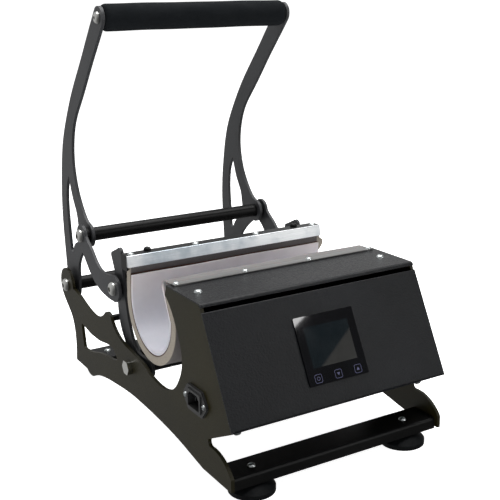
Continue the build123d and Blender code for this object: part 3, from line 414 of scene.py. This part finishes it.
# ---- pieces -------------------------------------------------------------------------------------------
def place_piece(name, mesh, material):
    mesh.materials.clear()
    mesh.materials.append(material)
    for face in mesh.polygons:
        face.use_smooth = True
    piece = bpy.data.objects.new(name, mesh)
    bpy.context.scene.collection.objects.link(piece)
    return piece


def finished_mesh(made, name):
    mesh = bpy.data.meshes.new(name)
    made.to_mesh(mesh)
    made.free()
    return mesh


def round_edges(piece, width, angle):
    """Small rounded rims along every edge that turns by more than an angle in degrees."""
    bevel = piece.modifiers.new("rims", "BEVEL")
    bevel.width = width
    bevel.segments = 2
    bevel.limit_method = "ANGLE"
    bevel.angle_limit = math.radians(angle)


def soften_edges(node, width, material):
    """A copy of a CAD node with rounded rims, in its place, whose flat faces stay flat in their shading."""
    mesh = NODES[node].data.copy()
    mesh.name = node + "_soft"
    made = bmesh.new()
    made.from_mesh(mesh)
    bmesh.ops.remove_doubles(made, verts=made.verts, dist=1e-6)
    bmesh.ops.dissolve_limit(made, angle_limit=math.radians(0.6), verts=made.verts, edges=made.edges)
    for edge in made.edges:
        edge.smooth = True
    made.to_mesh(mesh)
    made.free()
    for layer in [a for a in mesh.attributes if "normal" in a.name]:
        mesh.attributes.remove(layer)
    piece = place_piece(node + "_soft", mesh, material)
    round_edges(piece, width, METAL_TURN)
    flat = piece.modifiers.new("flats", "WEIGHTED_NORMAL")
    flat.keep_sharp = True
    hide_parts(node)
    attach(piece, BODY[node])
    return piece


# ---- CAD nodes ----------------------------------------------------------------------------------------
PLATES = ("side_plate_left", "side_plate_right", "lever_plate_left", "lever_plate_right",
          "link_left", "link_right", "arm_left", "arm_right")
SHEETS = ("front_rail", "rear_rail", "front_panel", "top_cover", "bar_bracket")
SIDES = ("side_plate_left", "side_plate_right")
RODS = ("lever_rod_front", "lever_rod_rear", "stop_rod", "foot_bar")


def dress(node, material):
    mesh_object = NODES[node]
    if not mesh_object.material_slots:
        mesh_object.data.materials.append(material)
    for slot in mesh_object.material_slots:
        slot.link = "OBJECT"
        slot.material = material


def dress_nodes():
    """Each node in its slot's material, apart from the sides and the rods, and softer plates and sheets."""
    finish = {name: MATERIALS[SLOT_OF[name]] for name in NODES}
    finish.update({name: MATERIALS["side_paint"] for name in SIDES})
    finish.update({name: MATERIALS["rod_paint"] for name in RODS})
    for name in NODES:
        dress(name, finish[name])
    for name in PLATES:
        soften_edges(name, PLATE_RIM, finish[name])
    for name in SHEETS:
        soften_edges(name, PANEL_RIM if name == "front_panel" else SHEET_RIM, finish[name])


# ---- heating mat --------------------------------------------------------------------------------------
def smooth_step(low, high, value):
    t = min(1.0, max(0.0, (value - low) / (high - low)))
    return t * t * (3.0 - 2.0 * t)


def mat_path(radius, front_top, rear_top):
    """(y, z) along the U at a radius: down the front flank, round below the mug, and up the rear flank."""
    y, z = MAT_AXIS
    front_lean = MAT_FRONT_LEAN * (front_top - z) / (MAT_FRONT_TOP - z)
    rear_lean = MAT_REAR_LEAN * (rear_top - z) / (MAT_REAR_TOP - z)
    rise = [(i + 1) / FLANK_STEPS for i in range(FLANK_STEPS)]
    turn = [math.pi * (1 + i / TURN_STEPS) for i in range(TURN_STEPS + 1)]
    front = [(y - radius + front_lean * t, z + (front_top - z) * t) for t in reversed(rise)]
    bottom = [(y + radius * math.cos(a), z + radius * math.sin(a)) for a in turn]
    rear = [(y + radius - rear_lean * t, z + (rear_top - z) * t) for t in rise]
    return front + bottom + rear


def mat_column(x, path, half_width, flare):
    """The points of a (y, z) path at x, with slight waves and, near the rear right corner, the spread."""
    across = smooth_step(half_width - FLARE_WIDTH, half_width, x)
    column = []
    for k, (y, z) in enumerate(path):
        wave = MAT_WAVE * math.sin(31.0 * x + 0.23 * k) * math.sin(17.0 * x - 0.11 * k)
        rear = smooth_step(len(path) * 0.55, len(path) * 0.75, k)
        peak = smooth_step(*FLARE_RISES, z) * (1.0 - smooth_step(*FLARE_FALLS, z))
        column.append((x + flare * rear * peak * across, y + wave, z + wave * 0.6))
    return column


def mat_layer(name, inner, outer, half_width, material, flare=0.0):
    """One layer of the mat between two (y, z) paths, across the machine."""
    made = bmesh.new()
    rows = []
    for i in range(ACROSS_STEPS + 1):
        x = -half_width + 2 * half_width * i / ACROSS_STEPS
        columns = [mat_column(x, path, half_width, flare) for path in (inner, outer)]
        rows.append([[made.verts.new(point) for point in column] for column in columns])
    last = len(inner) - 1
    for (inner_a, outer_a), (inner_b, outer_b) in zip(rows, rows[1:]):
        for k in range(last):
            made.faces.new((inner_a[k], inner_a[k + 1], inner_b[k + 1], inner_b[k]))
            made.faces.new((outer_a[k + 1], outer_a[k], outer_b[k], outer_b[k + 1]))
        made.faces.new((inner_a[0], inner_b[0], outer_b[0], outer_a[0]))
        made.faces.new((inner_a[last], outer_a[last], outer_b[last], inner_b[last]))
    for line_in, line_out in (rows[0], rows[-1]):
        for k in range(last):
            made.faces.new((line_in[k], line_in[k + 1], line_out[k + 1], line_out[k]))
    bmesh.ops.recalc_face_normals(made, faces=made.faces)
    piece = place_piece(name, finished_mesh(made, name), material)
    round_edges(piece, MAT_RIM, MAT_TURN)
    return piece


def flap_paths():
    """(y, z) of the pad's upper and lower face, from the flap's front edge over to the top of the flank."""
    upper = [(FLAP_END, BOX_TOP + 0.0006)]
    upper += [(y - CY, BOX_TOP + 0.0007) for y in (0.1100, 0.1200)]
    upper += [(PAD_FACE - 0.0052, BOX_TOP + 0.0003), (PAD_FACE - 0.0014, BOX_TOP - 0.0022)]
    upper += [(PAD_FACE, BOX_TOP - 0.0060)]
    lower = [(FLAP_END, BOX_TOP), (0.1100 - CY, BOX_TOP), (0.1190 - CY, BOX_TOP - 0.0003)]
    lower += [(PAD_FACE - 0.0068, BOX_TOP - 0.0014), (PAD_FACE - 0.0044, BOX_TOP - 0.0040)]
    lower += [(PAD_FACE - 0.0036, BOX_TOP - 0.0070)]
    return upper, lower


def make_mat():
    """Silicone pad with its clamped flap, dark bonding skin and thick cover, each one bending piece."""
    upper, lower = flap_paths()
    inside = upper + mat_path(PAD_RADII[0], MAT_FRONT_TOP, PAD_REAR_TOP)
    outside = lower + mat_path(PAD_RADII[1], MAT_FRONT_TOP - 0.0002, PAD_REAR_TOP - 0.0004)
    pad = mat_layer("mat_pad", inside, outside, PAD_HALF_WIDTH, MATERIALS["heater_silicone"])
    inside, outside = [mat_path(radius, *SKIN_TOPS) for radius in SKIN_RADII]
    skin = mat_layer("mat_bond", inside, outside, SKIN_HALF_WIDTH, MATERIALS["mat_skin"])
    inside = mat_path(COVER_RADII[0], COVER_FRONT_TOP, MAT_REAR_TOP - 0.0001)
    outside = mat_path(COVER_RADII[1], COVER_FRONT_TOP - 0.0010, MAT_REAR_TOP - 0.0003)
    cover = mat_layer("mat_cover", inside, outside, COVER_HALF_WIDTH, MATERIALS["mat_cover"], FLARE)
    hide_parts("mat_front_pad", "mat_rear_pad")
    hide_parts("mat_front_cover", "mat_rear_cover")
    for piece in (pad, skin, cover):
        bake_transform(piece, "root", "clamp", (0, 0.122 - CY, 0.10), (0, 0.204 - CY, 0.10))


# ---- display ------------------------------------------------------------------------------------------
def make_screen():
    """The lit area of the display, with a painted two-tone reflection, just proud of the glass."""
    low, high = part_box("display_screen")
    glass_low, glass_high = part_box("display_glass")
    lean = math.atan2(PANEL_RUN[0], PANEL_RUN[1])
    out = Vector((0.0, -math.cos(lean), math.sin(lean)))
    up = Vector((0.0, math.sin(lean), math.cos(lean)))
    middle = Vector((0.0, (glass_low[1] + glass_high[1]) / 2, (glass_low[2] + glass_high[2]) / 2))
    middle = middle + out * SCREEN_PROUD
    half_w = (high[0] - low[0]) / 2
    half_h = (SCREEN_SPAN[1] - SCREEN_SPAN[0]) / 2
    centre = middle + up * ((SCREEN_SPAN[0] + SCREEN_SPAN[1]) / 2 - GLASS_MIDDLE)
    made = bmesh.new()
    columns, rows = 14, 11
    grid = []
    for j in range(rows + 1):
        v = -half_h + 2 * half_h * j / rows
        places = [-half_w + 2 * half_w * i / columns for i in range(columns + 1)]
        grid.append([made.verts.new(centre + up * v + Vector((x, 0, 0))) for x in places])
    for j in range(rows):
        for i in range(columns):
            made.faces.new((grid[j][i], grid[j][i + 1], grid[j + 1][i + 1], grid[j + 1][i]))
    bmesh.ops.recalc_face_normals(made, faces=made.faces)
    if made.faces[:][0].normal.dot(out) < 0:
        bmesh.ops.reverse_faces(made, faces=made.faces)
    piece = place_piece("screen_area", finished_mesh(made, "screen_area"), MATERIALS["display_screen"])
    for face in piece.data.polygons:
        face.use_smooth = False
    film = piece.modifiers.new("film", "SOLIDIFY")
    film.thickness = FILM_DEPTH
    film.offset = -1.0
    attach(piece, "root")


# ---- grip ---------------------------------------------------------------------------------------------
def make_grip():
    """Foam sleeve turned round the grip tube, with soft ends and a slightly uneven skin."""
    low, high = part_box("grip_foam")
    centre_y, centre_z = (low[1] + high[1]) / 2, (low[2] + high[2]) / 2
    radius, half = (high[2] - low[2]) / 2, (high[0] - low[0]) / 2
    stations, around = 90, 56
    made = bmesh.new()
    rings = []
    for i in range(stations + 1):
        t = -1.0 + 2.0 * i / stations
        x = half * math.copysign(1 - (1 - abs(t)) ** 1.6, t)
        inset = max(0.0, 1 - (half - abs(x)) / GRIP_END_ROUND)
        r = radius - GRIP_END_DROP * (1 - math.sqrt(max(0.0, 1 - inset * inset)))
        ring = []
        for k in range(around):
            a = 2 * math.pi * k / around
            dent = 0.00012 * math.sin(3 * a + 55 * x) + 0.0001 * math.sin(5 * a - 91 * x)
            place = (x, centre_y + (r + dent) * math.cos(a), centre_z + (r + dent) * math.sin(a))
            ring.append(made.verts.new(place))
        rings.append(ring)
    for ring_a, ring_b in zip(rings, rings[1:]):
        for k in range(around):
            n = (k + 1) % around
            made.faces.new((ring_a[k], ring_a[n], ring_b[n], ring_b[k]))
    for ring, side in ((rings[0], -half), (rings[-1], half)):
        turns = [2 * math.pi * k / around for k in range(around)]
        edge = [(centre_y + GRIP_BORE * math.cos(a), centre_z + GRIP_BORE * math.sin(a)) for a in turns]
        bore = [made.verts.new((side, y, z)) for y, z in edge]
        for k in range(around):
            n = (k + 1) % around
            made.faces.new((ring[k], ring[n], bore[n], bore[k]))
    bmesh.ops.recalc_face_normals(made, faces=made.faces)
    sleeve = place_piece("grip_sleeve", finished_mesh(made, "grip_sleeve"), MATERIALS["grip_foam"])
    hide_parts("grip_foam")
    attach(sleeve, "lever")


# ---- stage --------------------------------------------------------------------------------------------
def area_light(name, at, target, size, power):
    light = bpy.data.lights.new(name, "AREA")
    light.shape = "RECTANGLE"
    light.size, light.size_y = size
    light.energy = power
    holder = bpy.data.objects.new(name, light)
    bpy.context.scene.collection.objects.link(holder)
    holder.location = at
    holder.rotation_euler = (Vector(target) - Vector(at)).to_track_quat("-Z", "Y").to_euler()
    return holder


def make_world():
    """Bright towards the back and above, dim towards the front and below; plain white to the camera."""
    world = bpy.data.worlds.new("studio")
    world.use_nodes = True
    tree = world.node_tree
    tree.nodes.clear()
    make, join = tree.nodes.new, tree.links.new
    towards = make("ShaderNodeVectorMath")
    towards.operation = "DOT_PRODUCT"
    join(make("ShaderNodeTexCoord").outputs["Generated"], towards.inputs[0])
    towards.inputs[1].default_value = SKY_SIDE
    level = make("ShaderNodeMapRange")
    level.interpolation_type = "SMOOTHSTEP"
    join(towards.outputs["Value"], level.inputs["Value"])
    level.inputs["From Min"].default_value, level.inputs["From Max"].default_value = SKY_SPAN
    level.inputs["To Min"].default_value = SKY_DIM
    level.inputs["To Max"].default_value = SKY_BRIGHT
    sky, plain = make("ShaderNodeBackground"), make("ShaderNodeBackground")
    join(level.outputs["Result"], sky.inputs["Strength"])
    plain.inputs["Strength"].default_value = BACKDROP
    chosen = make("ShaderNodeMixShader")
    join(make("ShaderNodeLightPath").outputs["Is Camera Ray"], chosen.inputs["Fac"])
    join(sky.outputs[0], chosen.inputs[1])
    join(plain.outputs[0], chosen.inputs[2])
    join(chosen.outputs[0], make("ShaderNodeOutputWorld").inputs["Surface"])
    bpy.context.scene.world = world


def make_floor():
    made = bmesh.new()
    bmesh.ops.create_grid(made, x_segments=2, y_segments=2, size=9.0)
    mesh = finished_mesh(made, "floor")
    shade = Shade("floor_paper", Emission_Color=(1.0, 1.0, 1.0, 1.0), Emission_Strength=0.95)
    grain = shade.noise(3.0, 3.0)
    shade.colour(shade.ramp(grain, (0.3, (0.84, 0.84, 0.84)), (0.7, (0.87, 0.87, 0.87))))
    shade.rough(shade.span(grain, 0.3, 0.7, 0.85, 0.95))
    mesh.materials.append(shade.material)
    floor = bpy.data.objects.new("floor", mesh)
    floor.location.z = -0.0002
    floor.visible_glossy = False
    bpy.context.scene.collection.objects.link(floor)


def make_window():
    """A small bright pane that only glossy surfaces show, tilted as it stands in the display's corner."""
    window = area_light("window", (0, 0, 0), (0, 0, 1), WINDOW_SIZE, 2.4)
    along = (WINDOW_ALONG - WINDOW_AWAY * WINDOW_ALONG.dot(WINDOW_AWAY)).normalized()
    upward = WINDOW_AWAY.cross(along)
    side = along * math.cos(WINDOW_TILT) + upward * math.sin(WINDOW_TILT)
    rise = upward * math.cos(WINDOW_TILT) - along * math.sin(WINDOW_TILT)
    at = WINDOW_AT + along * WINDOW_SHIFT[0] + upward * WINDOW_SHIFT[1] + rise * (WINDOW_SIZE[1] / 2)
    window.matrix_world = Matrix.Translation(at) @ Matrix((side, rise, WINDOW_AWAY)).transposed().to_4x4()
    window.visible_diffuse = False


def make_stage():
    make_floor()
    area_light("overhead", (0.15, 0.1, 2.0), (0, 0, 0.1), (2.2, 1.8), 56.0)
    area_light("front", (1.45, -2.00, 0.40), (0, 0, 0.2), (3.4, 0.7), 9.0)
    area_light("rear_right", (1.9, 1.7, 0.75), (0.1, 0, 0.2), (1.4, 0.8), 1.6)
    make_window()
    bpy.context.scene.view_settings.view_transform = "Standard"


make_camera()
MATERIALS = make_materials()
dress_nodes()
make_mat()
make_grip()
make_screen()
make_world()
make_stage()
